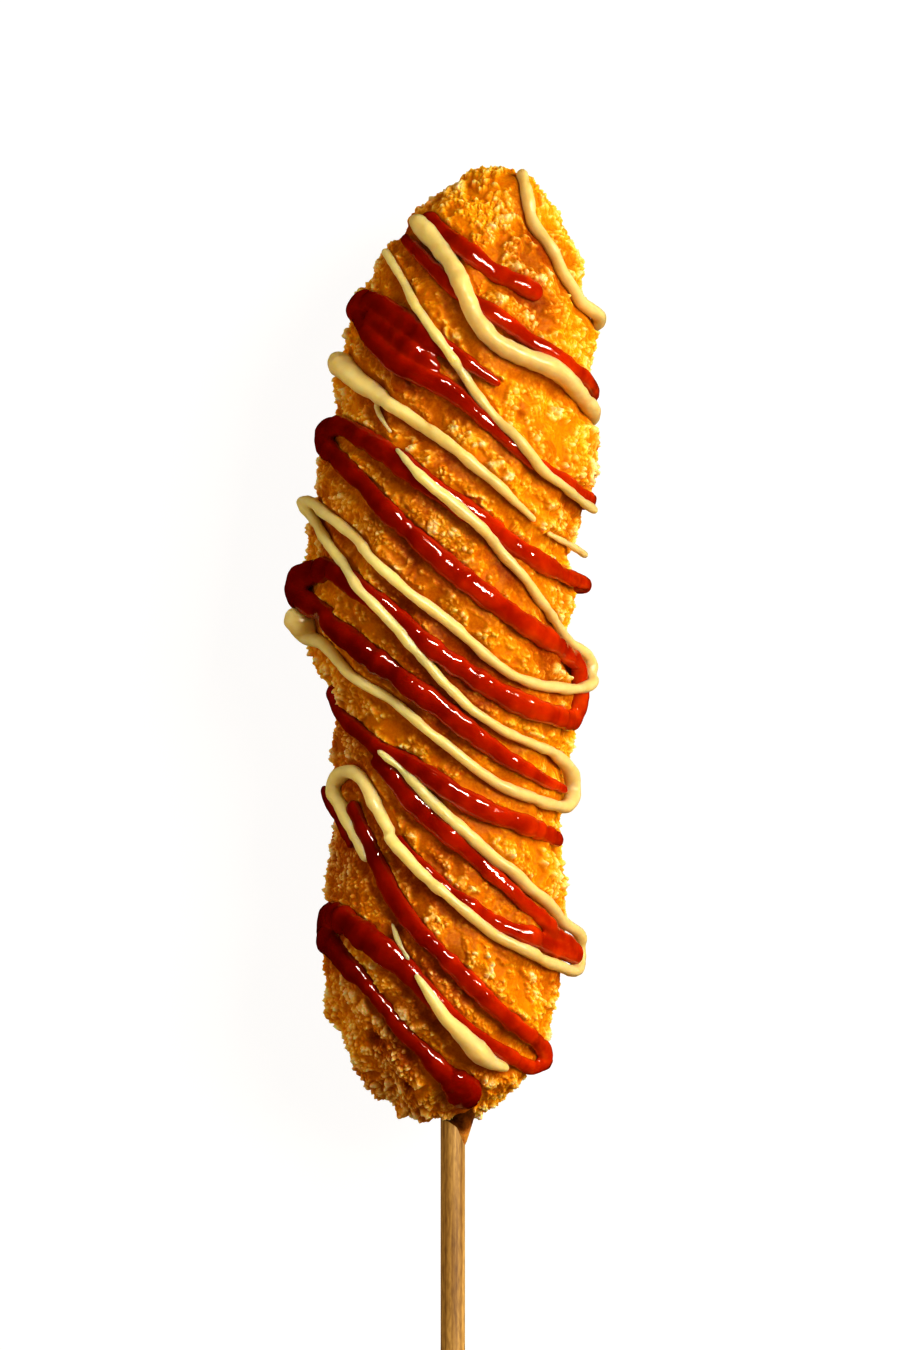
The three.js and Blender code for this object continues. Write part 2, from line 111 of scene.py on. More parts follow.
# ---- Drizzle ----
# A line of sauce is a list of strokes: (from, to, bends, widths, turn). A stroke runs between two
# places (across, along). Its bends are how far it bows aside in one, two, three ... half waves, its
# widths are spread evenly along it, and turn is how far the sauce swings out before it comes back,
# or the places that it passes. A place marked with a 1 lies against the side, out of sight.
KETCHUP_LINES = [
    [((-3.5, 8), (16.3, 21.7), (1.3, 0.1), (2.7, 3.2, 3.2, 3.2, 3.4), 0)],
    [
        (
            (-7.2, 11.5), (24.6, 36.2), (1.4, 0.5), (2, 2.8, 2.7, 2.7, 2.2),
            [(29.5, 40, 1), (32.5, 45.5, 1), (32.5, 51, 1), (29.5, 55.5, 1)],
        ),
        ((24.3, 55.2), (-14.7, 24.5), (-1.6, 0.4, -0.9, 0.5), (2, 2.2, 3, 4, 3), 0.6),
        ((-12.5, 22.3), (9.2, 36.7), (0.1, 0.1), (3.7, 4.3, 3.8, 2.3, 1), 0),
    ],
    [((-13, 24.8), (-1, 34.5), (0,), (2.6, 2.8, 3.2, 3, 1.6), 0)],
    [
        ((26.5, 70), (-17.5, 43), (-1.5, -0.8, -0.2, -0.3), (2, 3.2, 3.4, 3.7, 3.3), 1.8),
        (
            (-18.3, 48.3), (22.5, 82.3), (2, 0), (3.2, 3.3, 3.6, 3.5, 3.3),
            [(23.2, 85), (23.2, 89.5)],
        ),
        ((22.5, 92.3), (-20, 66.7), (-2.5, -1, 0, -0.2), (3.3, 3.7, 3.3, 3.3, 4), 3),
        ((-21.5, 73.5), (20, 103.7), (1.5, -0.1, 0.4), (3.6, 4.5, 3.7, 3.1, 1.5), 0),
    ],
    [((-19.8, 86.2), (20.4, 112.4), (3.9, 0.8, 0.6, 0.5), (2.6, 2.8, 3.4, 3.4, 2.8), 0)],
    [
        ((-11.7, 97.8), (22, 131), (0.5, 0.6, 0.2), (2.7, 3.8, 2.6, 2.4, 3), [(21.9, 131.4)]),
        ((20, 130.3), (-8.3, 111.2), (-2.7, 0.2), (3.2, 2.8, 2.7, 2.3, 1.7), 0),
    ],
    [((-20.5, 103), (-15.8, 113.3), (0.2,), (2, 1.9, 1.8, 1.5, 1), 0)],
    [
        (
            (-15.5, 105.3), (15.8, 145.8), (4.3, 0.5, 0.1, -0.2), (2.6, 3.4, 3.0, 3.1, 2.6),
            [(16.7, 147.6)],
        ),
        (
            (14.2, 149.8), (-18.3, 124.2), (-0.6, -0.8), (2.3, 2.3, 3.2, 4.4, 4.4),
            [(-20.3, 125.2), (-20.3, 128)],
        ),
        ((-18.6, 129.6), (3.0, 153.4), (0.9, -0.1), (4.4, 3.9, 2.6, 2.5, 2.9, 3.8, 5.4), 0),
    ],
    [((1.4, 151.0), (4.4, 156.2), (0,), (5.2, 6, 6), 0)],
    [((14.5, 149), (18, 148.2), (0,), (2.6, 2.6, 2.8), 0)],
]
MUSTARD_LINES = [
    [
        (
            (12, 1.7), (24.4, 24.2), (1.6,), (2.7, 2.7, 2.6, 2.5, 3.0),
            [(32, 29.5, 1), (33.5, 37, 1), (30, 43, 1)],
        ),
        ((22.9, 38.8), (-5, 8.8), (-3.2, -0.4, 1.2, 0.3), (3.8, 5.4, 4.6, 4.6, 5.0), 0),
    ],
    [((-9.6, 14.2), (24.6, 56.8), (3.8, -0.6, 0.4, 0.1), (1.8, 2.4, 2.4, 2.4, 2.0), 0)],
    [((24.5, 64.5), (16.3, 60.8), (0,), (1.4, 1.5, 1.5, 1.3, 1), 0)],
    [((-18.2, 31.4), (14.7, 59), (-0.2, 0.6, 0.2, 0.1), (6.2, 4.3, 3.4, 2.8, 2.7, 2.5, 1.2), 0)],
    [((-11.7, 39.5), (-8.7, 44.8), (0.2,), (1.4, 1.1, 0.9, 0.8, 0.6), 0)],
    [
        (
            (-8, 47.3), (22.2, 80), (-1.1, -0.1, 0.3, 0.1), (1.0, 3.2, 2.3, 2.2, 2.1),
            [(23.7, 82.4), (24.2, 85.0)],
        ),
        ((22.6, 86.9), (-23.0, 55.3), (-3.9, -1.5, -0.6, -0.6), (2.8, 2.5, 2.6, 2.5, 2.6), 1),
        (
            (-23.2, 56.8), (18.6, 97.6), (4.5, -0.9, 0.6), (2.4, 2.3, 2.4, 2.2, 2.6),
            [(20.9, 100), (21.4, 103.3)],
        ),
        ((19.8, 106.6), (-21.5, 79), (-2.3, -0.8, -0.5), (3, 2.5, 2.3, 2.3, 2.6), [(-22.9, 78.5)]),
        ((-23.1, 77.8), (-23.6, 73.4), (0,), (4.4, 7.0, 7.2), 0),
    ],
    [
        ((-10.3, 96.7), (23, 129), (0.2, 0.5, -0.1), (1.4, 2.8, 3.2, 2.8, 2.8), [(22.9, 131.8)]),
        (
            (21.2, 134), (-13.8, 101.4), (-5.1, 0.2, -0.2), (3.0, 2.5, 2.6, 3.0, 3.3),
            [(-16.6, 100.5)],
        ),
        ((-18.0, 103.2), (-12.6, 115.6), (-0.2,), (3.2, 3.4, 3.4, 3.2, 2.2), 0),
    ],
    [((-9.2, 125.3), (-5.8, 131.7), (0.2,), (0.6, 0.9, 1, 0.9, 0.6), 0)],
    [((-4.8, 133.7), (10.5, 150), (1.5, -0.4, 0.1, -0.2), (1.2, 2.9, 4.0, 5.4, 2), 0)],
]
TURN_SWELL = 1.15  # how much thicker the sauce lies in a turn
TURN_SHARES = (0.28, 0.72)  # where a round turn passes, as shares of the way along between strokes
CONTROL_STEP = 3.0  # between the controls of a stroke
COURSE_STEP = 0.5  # between the places on a course

# A place farther out than this share of the half width goes on round the side at an even pace.
LEAVING = 0.9
# A line of sauce hangs out there, as far as it is drawn, up to the first of these distances past
# the outline, in mm. From the second on it lies against the crust again.
HANGING = (2.5, 7.0)


# ---- Helpers ----
def smoothstep(low, high, x):
    """0 where x is at low or short of it, 1 at high or past it, with a soft change between."""
    t = min(max((x - low) / (high - low), 0), 1)
    return t * t * (3 - 2 * t)


def layered_noise(p, layers):
    """Noise at a point, summed over layers of (size in mm, height, shift)."""
    return sum(height * noise.noise(p / size + Vector(shift)) for size, height, shift in layers)


# ---- The food's smooth form ----
NEAR = 0.25  # how far to each side of a place its slope is taken, in mm along and radians round
NEAR_WRAP = 0.02


def through(stations, along):
    """Values at places along, on a smooth curve through (along, value) stations."""
    x, y = np.array(stations, dtype=float).T
    slopes = np.empty(len(x))
    slopes[1:-1] = (y[2:] - y[:-2]) / (x[2:] - x[:-2])
    slopes[0] = (y[1] - y[0]) / (x[1] - x[0])
    slopes[-1] = (y[-1] - y[-2]) / (x[-1] - x[-2])
    i = np.clip(np.searchsorted(x, along, side="right") - 1, 0, len(x) - 2)
    span = x[i + 1] - x[i]
    t = np.clip((along - x[i]) / span, 0, 1)
    return ((2 * t**3 - 3 * t**2 + 1) * y[i] + (t**3 - 2 * t**2 + t) * span * slopes[i]
            + (3 * t**2 - 2 * t**3) * y[i + 1] + (t**3 - t**2) * span * slopes[i + 1])


def opened(cap, distance):
    """How far a round end has opened, 0 at the very end and 1 where it is as wide as the food."""
    length, inner, outer = cap
    left = 1 - np.clip(distance / length, 0, 1)
    return (1 - left**inner) ** (1 / outer)


def cross_section(along):
    """(middle across, half width, half height, height of the middle) of the food there."""
    full = through(HALF_WIDTHS, along)
    half = full * opened(TIP_CAP, along) * opened(BASE_CAP, FOOD_LENGTH - along)
    return through(MIDDLES, along), half, HEIGHT_SHARE * half, HEIGHT_SHARE * full - FLAT_DEPTH


def smooth_points(along, wrap):
    """Points on the smooth form, one row for each pair of along and wrap."""
    along, wrap = np.atleast_1d(along), np.atleast_1d(wrap)
    middle, half, tall, height = cross_section(along)
    return np.stack(
        [middle + half * np.sin(wrap), TIP_Y - along, height + tall * np.cos(wrap)], axis=1
    )


def smooth_normals(along, wrap):
    """Outward normals of the smooth form, one row for each pair of along and wrap."""
    along, wrap = np.atleast_1d(along), np.atleast_1d(wrap)
    inside = np.clip(along, NEAR, FOOD_LENGTH - NEAR)
    down = smooth_points(inside + NEAR, wrap) - smooth_points(inside - NEAR, wrap)
    around = smooth_points(inside, wrap + NEAR_WRAP) - smooth_points(inside, wrap - NEAR_WRAP)
    out = np.cross(down, around)
    return out / np.linalg.norm(out, axis=1)[:, None]


def smooth_point(along, wrap):
    return Vector(smooth_points(along, wrap)[0])


def smooth_normal(along, wrap):
    return Vector(smooth_normals(along, wrap)[0])


def place_at(across, along):
    """(The wrap of a place, how far a line of sauce hangs out there, in mm)."""
    middle, half, _, _ = cross_section(np.array([float(along)]))
    aside = across - middle[0]
    share = abs(aside) / half[0]
    over = max(abs(aside) - half[0], 0)
    if share <= LEAVING:
        return math.asin(aside / half[0]), 0
    wrap = math.asin(LEAVING) + (share - LEAVING) / math.sqrt(1 - LEAVING**2)
    outward = max(half[0] * (share - math.sin(min(wrap, math.pi / 2))), 0)
    return math.copysign(wrap, aside), outward * (1 - smoothstep(*HANGING, over))


ROLLING = [(6.0, 1.5, (0, 0, 0))]
KNOB_PLACES = [
    (smooth_point(along, math.radians(wrap)), height, radius)
    for along, wrap, height, radius in KNOBS
]


def lumps(p):
    """The crust's rolling relief and its knobs, in mm."""
    out = layered_noise(p, ROLLING)
    for place, height, radius in KNOB_PLACES:
        away = (p - place).length / radius
        if away < KNOB_REACH:
            out += height * math.exp(-away * away)
    return out


# ---- Routes of the drizzle ----
def spread(values, t):
    """The value at share t of the way through evenly spread values."""
    place = t * (len(values) - 1)
    i = min(int(place), len(values) - 2)
    return values[i] + (values[i + 1] - values[i]) * (place - i)


def stroke_controls(stroke):
    """Controls (across, along, width, hidden) on one stroke."""
    start, end, bends, widths, _ = stroke
    way = Vector(end) - Vector(start)
    aside = Vector((-way.y, way.x)).normalized()
    count = max(2, round(way.length / CONTROL_STEP))
    points = []
    for i in range(count + 1):
        t = i / count
        bow = sum(bend * math.sin((k + 1) * math.pi * t) for k, bend in enumerate(bends))
        p = Vector(start) + way * t + aside * bow
        points.append(Vector((p.x, p.y, spread(widths, t), 0)))
    return points


def smooth_route(controls):
    """Points at even steps on a smooth curve through the controls."""
    route = []
    padded = [2 * controls[0] - controls[1]] + controls + [2 * controls[-1] - controls[-2]]
    for a, b, c, d in zip(padded, padded[1:], padded[2:], padded[3:]):
        count = max(1, round((c - b).length / COURSE_STEP))
        for i in range(count):
            t = i / count
            route.append(0.5 * ((2 * b) + (c - a) * t + (2 * a - 5 * b + 4 * c - d) * t**2
                                + (3 * b - a - 3 * c + d) * t**3))
    route.append(controls[-1])
    return route


def turn_places(stroke, following):
    """Places the sauce passes between two strokes: those that are named, or a round turn.

    Each is (across, along, 1 if it lies out of sight against the side).
    """
    end, begin, turn = stroke[1], following[0], stroke[4]
    if not isinstance(turn, (int, float)):
        return [(*place, 0)[:3] for place in turn]
    far = math.copysign(max(abs(end[0]), abs(begin[0])) + turn, end[0])
    gap = begin[1] - end[1]
    return [(far, end[1] + share * gap, 0) for share in TURN_SHARES]


def route_of(strokes):
    """Places (across, along, width, hidden) on a line of sauce, its strokes joined by turns."""
    controls = []
    for i, stroke in enumerate(strokes):
        controls += stroke_controls(stroke)
        if i + 1 < len(strokes):
            width = TURN_SWELL * (stroke[3][-1] + strokes[i + 1][3][0]) / 2
            for across, along, hidden in turn_places(stroke, strokes[i + 1]):
                controls.append(Vector((across, along, width, hidden)))
    return smooth_route(controls)


# ---- Meshes ----
def mesh_object(name, vertices, faces, smooth=True):
    """A mesh piece from vertices in mm."""
    mesh = bpy.data.meshes.new(name)
    points = np.asarray(vertices, dtype=np.float64) * MM
    mesh.from_pydata(points.tolist(), [], faces)
    mesh.validate()
    if smooth:
        mesh.polygons.foreach_set("use_smooth", [True] * len(mesh.polygons))
    piece = bpy.data.objects.new(name, mesh)
    bpy.context.scene.collection.objects.link(piece)
    return piece


def add_values(piece, name, values):
    """A number at each vertex of a piece, for its material."""
    layer = piece.data.attributes.new(name, "FLOAT", "POINT")
    layer.data.foreach_set("value", np.asarray(values, dtype=np.float32))


def ring_quads(rings, sides):
    """Faces between rings of vertices."""
    faces = []
    for ring in range(rings - 1):
        for k in range(sides):
            a, b = ring * sides + k, ring * sides + (k + 1) % sides
            faces.append((a, b, b + sides, a + sides))
    return faces


def end_fans(rings, sides):
    """Faces from the first and the last ring to two middles, which come after all the rings."""
    faces = []
    first, last = rings * sides, rings * sides + 1
    end = (rings - 1) * sides
    for k in range(sides):
        faces.append((first, (k + 1) % sides, k))
        faces.append((last, end + k, end + (k + 1) % sides))
    return faces


def flipped(faces):
    """The same faces turned over, each from the same vertex on."""
    return [(face[0], *face[:0:-1]) for face in faces]


def apply_modifiers(piece):
    graph = bpy.context.evaluated_depsgraph_get()
    mesh = bpy.data.meshes.new_from_object(piece.evaluated_get(graph))
    piece.modifiers.clear()
    old = piece.data
    piece.data = mesh
    mesh.name = piece.name
    bpy.data.meshes.remove(old)


def vertex_arrays(piece):
    """(places in mm, normals) of a piece's vertices."""
    mesh = piece.data
    places = np.empty(len(mesh.vertices) * 3)
    normals = np.empty(len(mesh.vertices) * 3)
    mesh.vertices.foreach_get("co", places)
    mesh.vertices.foreach_get("normal", normals)
    return places.reshape(-1, 3) / MM, normals.reshape(-1, 3)


# ---- Sauces ----
EVENED_OVER = 3  # places to each side that a course is averaged over


def evened(course):
    """The course with its points and normals averaged over their neighbours, to take out kinks."""
    smoothed = []
    last = len(course) - 1
    for i, (_, _, width) in enumerate(course):
        reach = min(EVENED_OVER, i, last - i)
        near = course[i - reach:i + reach + 1]
        point = sum((p for p, _, _ in near), Vector()) / len(near)
        out = sum((n for _, n, _ in near), Vector()).normalized()
        smoothed.append((point, out, width))
    return smoothed


HIDDEN_FROM = 0.5  # how far a place is hidden, from 0 to 1, where its sauce no longer hangs out


def sauce_courses(lines):
    """For each line: a list of (point on the crust, outward normal, width)."""
    courses = []
    for strokes in lines:
        course = []
        for across, along, width, hidden in route_of(strokes):
            wrap, hanging = place_at(across, along)
            out = smooth_normal(along, wrap)
            point = smooth_point(along, wrap)
            hanging *= 1 - smoothstep(0, HIDDEN_FROM, hidden)
            course.append((point + out * (lumps(point) + hanging), out, width))
        courses.append(evened(course))
    return courses


def tree_of(courses):
    """(A tree to find the nearest place on any course, the width at each place)."""
    points = [(point, width) for course in courses for point, _, width in course]
    tree = KDTree(len(points))
    for i, (point, _) in enumerate(points):
        tree.insert(point, i)
    tree.balance()
    return tree, [width for _, width in points]


def gap_to(sauces, p):
    """How far a point lies from the edge of the nearest line, in mm: below 0 under the sauce."""
    gaps = []
    for tree, widths in sauces:
        _, i, distance = tree.find(p)
        gaps.append(distance - 0.5 * widths[i])
    return min(gaps)


# A sauce's bead: its half width and half height as shares of the line's width, how far its middle
# stands off the crust as a share of that width, the power of its section, which is squarer below 1,
# how uneven it is, the size of the voxels that merge the lines, and the ripples (size, height,
# seed) on its skin.
Bead = namedtuple("Bead", "side up rise square uneven voxel ripples")
KETCHUP_BEAD = Bead(
    side=0.495, up=0.42, rise=-0.08, square=0.9, uneven=0.22, voxel=0.26,
    ripples=[(2.4, 0.14, 1), (1.0, 0.06, 2)],
)
MUSTARD_BEAD = Bead(
    side=0.31, up=0.43, rise=0.06, square=1.0, uneven=0.16, voxel=0.22,
    ripples=[(2.8, 0.20, 3), (1.1, 0.04, 4)],
)
BEAD_SIDES = 16
WOBBLE = [(3.0, 1, (0, 0, 0)), (1.3, 0.7, (0, 0, 0))]
CAP_AT_LEAST = 0.02  # square of a bead's share of its size at its very ends
LOW_SIDE = (0.1, -0.5)  # upward parts of the normals between which a bead's rise turns round
SHRINKAGE = 0.12  # what the smoothing takes off a bead's sides
SOFTENING = (0.5, 6)  # strength and rounds of the smoothing
SAUCE_TRIANGLES = 115000
SCRAP_VERTICES = 100  # a loose bit of sauce with fewer vertices is dropped

# Mustard is lifted over ketchup by so much, all the way at the first of these distances from the
# middle of a ketchup line, as shares of its half width, and not at all from the second on.
LIFT = 1.1
CROSSING = (0.4, 1.3)


def lift_over(tree_and_widths, point):
    """How far a bead is lifted at a point where it crosses those lines, in mm."""
    tree, widths = tree_and_widths
    _, i, distance = tree.find(point)
    return LIFT * (1 - smoothstep(*CROSSING, distance / (0.5 * widths[i])))


def bead_section(square):
    """Shares (aside, upward) of a bead's half width and half height round its section."""
    section = []
    for k in range(BEAD_SIDES):
        turn = 2 * math.pi * k / BEAD_SIDES
        c, s = math.cos(turn), math.sin(turn)
        section.append((math.copysign(abs(c) ** square, c), math.copysign(abs(s) ** square, s)))
    return section


def bead_vertices(course, bead, below):
    """Rings of vertices along a course, then its two ends. below is a tree of what it crosses."""
    section = bead_section(bead.square)
    vertices, middles = [], []
    last = len(course) - 1
    for i, (point, out, width) in enumerate(course):
        ahead = course[min(i + 1, last)][0] - course[max(i - 1, 0)][0]
        side = out.cross(ahead).normalized()
        wobble = 1 + bead.uneven * layered_noise(point, WOBBLE)
        near_end = min(i, last - i) * COURSE_STEP / (0.5 * width)
        cap = math.sqrt(max(1 - (1 - min(near_end, 1)) ** 2, CAP_AT_LEAST))
        half_width = (bead.side * width + SHRINKAGE) * wobble * cap
        half_height = bead.up * width * wobble * cap
        raised = bead.rise * width * (1 - 2 * smoothstep(*LOW_SIDE, out.z))
        raised += lift_over(below, point) if below else 0
        middle = point + out * raised
        middles.append(middle)
        for aside, upward in section:
            vertices.append(middle + side * (half_width * aside) + out * (half_height * upward))
    return vertices + [middles[0], middles[-1]]


def merge(piece, voxel):
    """Joins the beads of a piece into one smooth skin."""
    remesh = piece.modifiers.new("merge", "REMESH")
    remesh.mode = "VOXEL"
    remesh.voxel_size = voxel * MM
    remesh.use_smooth_shade = True
    soften = piece.modifiers.new("soften", "SMOOTH")
    soften.factor, soften.iterations = SOFTENING
    apply_modifiers(piece)


def sauce_piece(name, courses, bead, below=None):
    """One sauce: a bead along each course, merged into one skin."""
    vertices, faces = [], []
    for course in courses:
        base = len(vertices)
        vertices += bead_vertices(course, bead, below)
        for face in ring_quads(len(course), BEAD_SIDES) + end_fans(len(course), BEAD_SIDES):
            faces.append(tuple(base + corner for corner in face))
    piece = mesh_object(name, vertices, faces)
    merge(piece, bead.voxel)
    for size, height, seed in bead.ripples:
        ripple(piece, size, height, seed)
    thin_out(piece)
    drop_scraps(piece)
    return piece


def ripple(piece, size, height, seed):
    """Moves a skin's vertices in and out by noise of that size, in mm."""
    places, normals = vertex_arrays(piece)
    shift = Vector((seed, 2 * seed, 3 * seed))
    depths = [height * noise.noise(Vector(place) / size + shift) for place in places]
    moved = places + normals * np.asarray(depths)[:, None]
    piece.data.vertices.foreach_set("co", (moved * MM).ravel())
    piece.data.update()


def thin_out(piece):
    """Brings a skin down to SAUCE_TRIANGLES, taking them where it is smoothest."""
    fewer = piece.modifiers.new("fewer", "DECIMATE")
    fewer.ratio = SAUCE_TRIANGLES / (2 * len(piece.data.polygons))
    apply_modifiers(piece)


def island_of(vertex):
    """All vertices that are joined to this one."""
    island, front = {vertex}, [vertex]
    while front:
        at = front.pop()
        for edge in at.link_edges:
            other = edge.other_vert(at)
            if other not in island:
                island.add(other)
                front.append(other)
    return island


def drop_scraps(piece):
    """Removes the loose bits of a skin."""
    skin = bmesh.new()
    skin.from_mesh(piece.data)
    seen, scraps = set(), []
    for vertex in skin.verts:
        if vertex not in seen:
            island = island_of(vertex)
            seen |= island
            if len(island) < SCRAP_VERTICES:
                scraps += island
    bmesh.ops.delete(skin, geom=scraps, context="VERTS")
    skin.to_mesh(piece.data)
    skin.free()


SIDES_AT = (-24, 24)  # X of the food's far left and far right, in mm
EDGE_FROM = (0.5, 1.1)  # where a line's thin edge lies, as shares of its half width
POOL_WIDTHS = (3.6, 5.6)  # widths between which a line becomes a thick pool
# how much lighter a line is at its thin edges, the painted light added on the right, and how much
# darker in a thick pool
THIN_EDGE, PAINTED_LIGHT_RIGHT, THICK_POOL = 0.32, 0.62, 0.30


def rightness(piece):
    """How far to the right each vertex lies, 0 to 1."""
    return [smoothstep(*SIDES_AT, x) for x in vertex_arrays(piece)[0][:, 0]]


def thinness(piece, tree_and_widths):
    """How light the sauce's colour is at each vertex, 0 to 1: most at its thin edges, and on the
    right as painted light.
    """
    tree, widths = tree_and_widths
    thin = []
    for place, right in zip(vertex_arrays(piece)[0], rightness(piece)):
        _, i, distance = tree.find(place)
        edge = smoothstep(*EDGE_FROM, 2 * distance / widths[i])
        pool = smoothstep(*POOL_WIDTHS, widths[i])
        thin.append(THIN_EDGE * edge + PAINTED_LIGHT_RIGHT * right - THICK_POOL * pool)
    return thin


# ---- Crust ----
# The crust is a grid of rings with fine sides on top, down to this wrap, and coarse ones below. It
# is cut in stretches, and the rows past each cut are tucked under the next stretch.
FINE_WRAP = math.radians(102)
FINE_SIDES, COARSE_SIDES = 350, 74
SKIN_RINGS = 860
SKIN_PARTS = 5
UNDER_LAP = 0.01  # how far the first row past a cut lies under the next stretch
TUCK = 0.5  # how far the second row does
OUTLINE_SAMPLES = 2001


def ring_places(count):
    """Places along the food for its rings, at even distances over the surface."""
    samples = np.linspace(0, FOOD_LENGTH, OUTLINE_SAMPLES)
    outline = smooth_points(samples, np.full(OUTLINE_SAMPLES, math.pi / 2))
    reach = np.concatenate([[0], np.cumsum(np.linalg.norm(np.diff(outline, axis=0), axis=1))])
    return np.interp(np.linspace(0, reach[-1], count + 2)[1:-1], reach, samples)


def on_smooth_form(across, along):
    return smooth_point(along, place_at(across, along)[0])


DENT_PLACES = [
    (on_smooth_form(across, along), radius, deep) for across, along, radius, deep in DENTS
]


def dents(p):
    """(how deep the crust's dents go, how dark they are coloured) at a point."""
    depth = dark = 0.0
    for place, radius, deep in DENT_PLACES:
        away = (p - place).length / radius
        if away < DENT_REACH:
            share = math.exp(-away * away * DENT_FALL)
            depth += deep * share
            dark += share
    return depth, min(dark, 1)


CHIP_PLACES = [
    (on_smooth_form(across, along), radius, brown) for across, along, radius, brown in CHIPS
]
CHIP_WAVES = [(1.2, 0.5, (0, 0, 0))]  # what makes a chip's edge uneven


def chip_at(p):
    """(how much of a point is on a flat chip, how brown the chip is)."""
    for place, radius, brown in CHIP_PLACES:
        away = (p - place).length + layered_noise(p, CHIP_WAVES)
        if away < radius:
            return 1 - smoothstep(radius - CHIP_RIM, radius, away), brown
    return 0, 0


CLUSTERS = [(3.0, 1, (11, 5, 2)), (1.3, 0.6, (3, 9, 4))]
CLUSTERED = (-0.50, 0.05)  # noise between bare batter and a full cluster
SPARSER = 0.10  # taken off the noise along the middle of the tip's half, which has fewer crumbs
SPARSE_FROM_LEFT, SPARSE_FROM_RIGHT = (-21, -13), (17, 5)  # X over which that sets in, in mm
SPARSE_FROM_MIDDLE = (-20, 0)  # Y over which it sets in towards the tip


def clustered(p):
    """How thickly crumbs lie at a point: 0 on bare batter, 1 on a cluster."""
    middle = smoothstep(*SPARSE_FROM_LEFT, p.x) * smoothstep(*SPARSE_FROM_RIGHT, p.x)
    sparse = middle * smoothstep(*SPARSE_FROM_MIDDLE, p.y)
    return smoothstep(*CLUSTERED, layered_noise(p, CLUSTERS) - SPARSER * sparse)


BROWNING = [(14.0, 0.8, (2, 8, 5)), (5.0, 0.35, (0, 0, 0))]
BROWN_LEVEL = 0.12
PAINTED_SHADE_LEFT = 0.40  # painted shade: added on the left, away from the tip, where the light from the right falls least
SHADE_FADES_RIGHT = (-8, 18)  # X over which that fades to the right, in mm
SHADE_FADES_TIP = (100, 50)  # Y over which it sets in, away from the tip
PAINTED_SHADOW_BROWN = 0.45  # painted shadow: added below and left of the sauce, where its shadow falls
DENT_DARKENING = 1.6  # how brown a dent is, so that it is all dark well out from its middle


def browned(p):
    """How brown the crust is at a point, 0 for golden to 1 for dark: its own browning, and painted
    shade on the left.
    """
    # painted shade, on the left and away from the tip
    left = (1 - smoothstep(*SHADE_FADES_RIGHT, p.x)) * smoothstep(*SHADE_FADES_TIP, p.y)
    return min(max(BROWN_LEVEL + layered_noise(p, BROWNING) + PAINTED_SHADE_LEFT * left, 0), 1)


# Crumbs of three sizes lie in each other. Relief and paleness are (base, by the crumb's own share,
# by the tilt of its top).
Crumb = namedtuple("Crumb", "size seed relief pale")
CRUMBS = [
    Crumb(size=0.9, seed=(7, 3, 5), relief=(0.2, 0.5, 0.6), pale=(0.10, 0.50, 0.2)),
    Crumb(size=0.5, seed=(1, 8, 2), relief=(0.06, 0.16, 0.2), pale=(0, 0.28, 0)),
    Crumb(size=2.5, seed=(6, 2, 9), relief=(-0.33, 0.95, 0.85), pale=(0, 0.5, 0.3)),
]
CRUMB_WARP = (1.1, 0.25)  # size and depth of the waves that bend the crumbs, in mm
CRUMB_SPLIT = 2.4  # how steeply a crumb rises from the gap round it
CELL_SPREAD = 5.3  # spreads the crumbs' middles over the cells that their own shares come from
HALF = Vector((0.5, 0.5, 0.5))


def crumb_at(p, kind):
    """(0 in a gap to 1 on a crumb, the crumb's own share from 0 to 1, the tilt of its top)."""
    size, depth = CRUMB_WARP
    q = (p + noise.noise_vector(p / size) * depth) / kind.size + Vector(kind.seed)
    distances, middles = noise.voronoi(q)
    own = noise.cell_vector(middles[0] * CELL_SPREAD)
    body = min((distances[1] - distances[0]) * CRUMB_SPLIT, 1)
    return body, own.x, (q - middles[0]).dot(own - HALF)


def crumbs(p):
    """(relief in mm, how pale) of the crumbs at a point, where they lie thickly."""
    relief = pale = 0.0
    for kind in CRUMBS:
        body, share, tilt = crumb_at(p, kind)
        base, by_share, by_tilt = kind.relief
        relief += body * (base + by_share * share + by_tilt * tilt)
        base, by_share, by_tilt = kind.pale
        pale += body * (base + by_share * share + by_tilt * tilt)
    return relief, pale


SHADOW_OFFSET = Vector((0.9, 0.9, 0.0))  # a place in painted shadow has sauce this far off, up and to the right of it, towards the light
UNDER_EDGE = (-0.2, 0.5)  # gaps between lying under sauce and being clear of it
SHADOW_BAND_FROM = -0.3  # the gap up to which the crust lies fully in the painted shadow band
SHADOW_BAND_REACH, SHADOW_BAND_LEAST = 1.3, 0.2  # how far the painted shadow band goes, and the least that it does
SHADOW_BAND_WAVES = [(2.2, 1.6, (4, 4, 8))]


def bareness(sauces, p):
    """(1 under sauce, 1 in the band below and left of it, where painted shadow falls and the crust
    has lost its crumbs) at a point.
    """
    under = 1 - smoothstep(*UNDER_EDGE, gap_to(sauces, p))
    reach = max(SHADOW_BAND_REACH + layered_noise(p, SHADOW_BAND_WAVES), SHADOW_BAND_LEAST)
    shadow_band = 1 - smoothstep(SHADOW_BAND_FROM, reach, gap_to(sauces, p + SHADOW_OFFSET))
    return under, shadow_band


SHADOW_BAND_BARE = 0.85  # how bare a place in the painted shadow band is, where 1 is as bare as under sauce
CRUMBS_LOST = 0.8  # share of the crumbs that a bare place has lost, and a chip too
ROUGH_BATTER = 0.12  # how rough bare batter is, where 1 is a cluster of crumbs
BATTER_LEVEL = -0.75  # height of the batter over the smooth form
CLUSTER_RISE = 0.4  # how much higher a cluster lies
PALE_BATTER, PALE_CLUSTER = 0.03, 0.05
CRUMB_FROST = 1.42  # how much paler the palest crumbs are
FROST_LEVEL = 0.12  # taken off the crumbs' paleness, so that their gaps are dark
CHIP_DULLS, DENT_DULLS = 0.6, 0.5


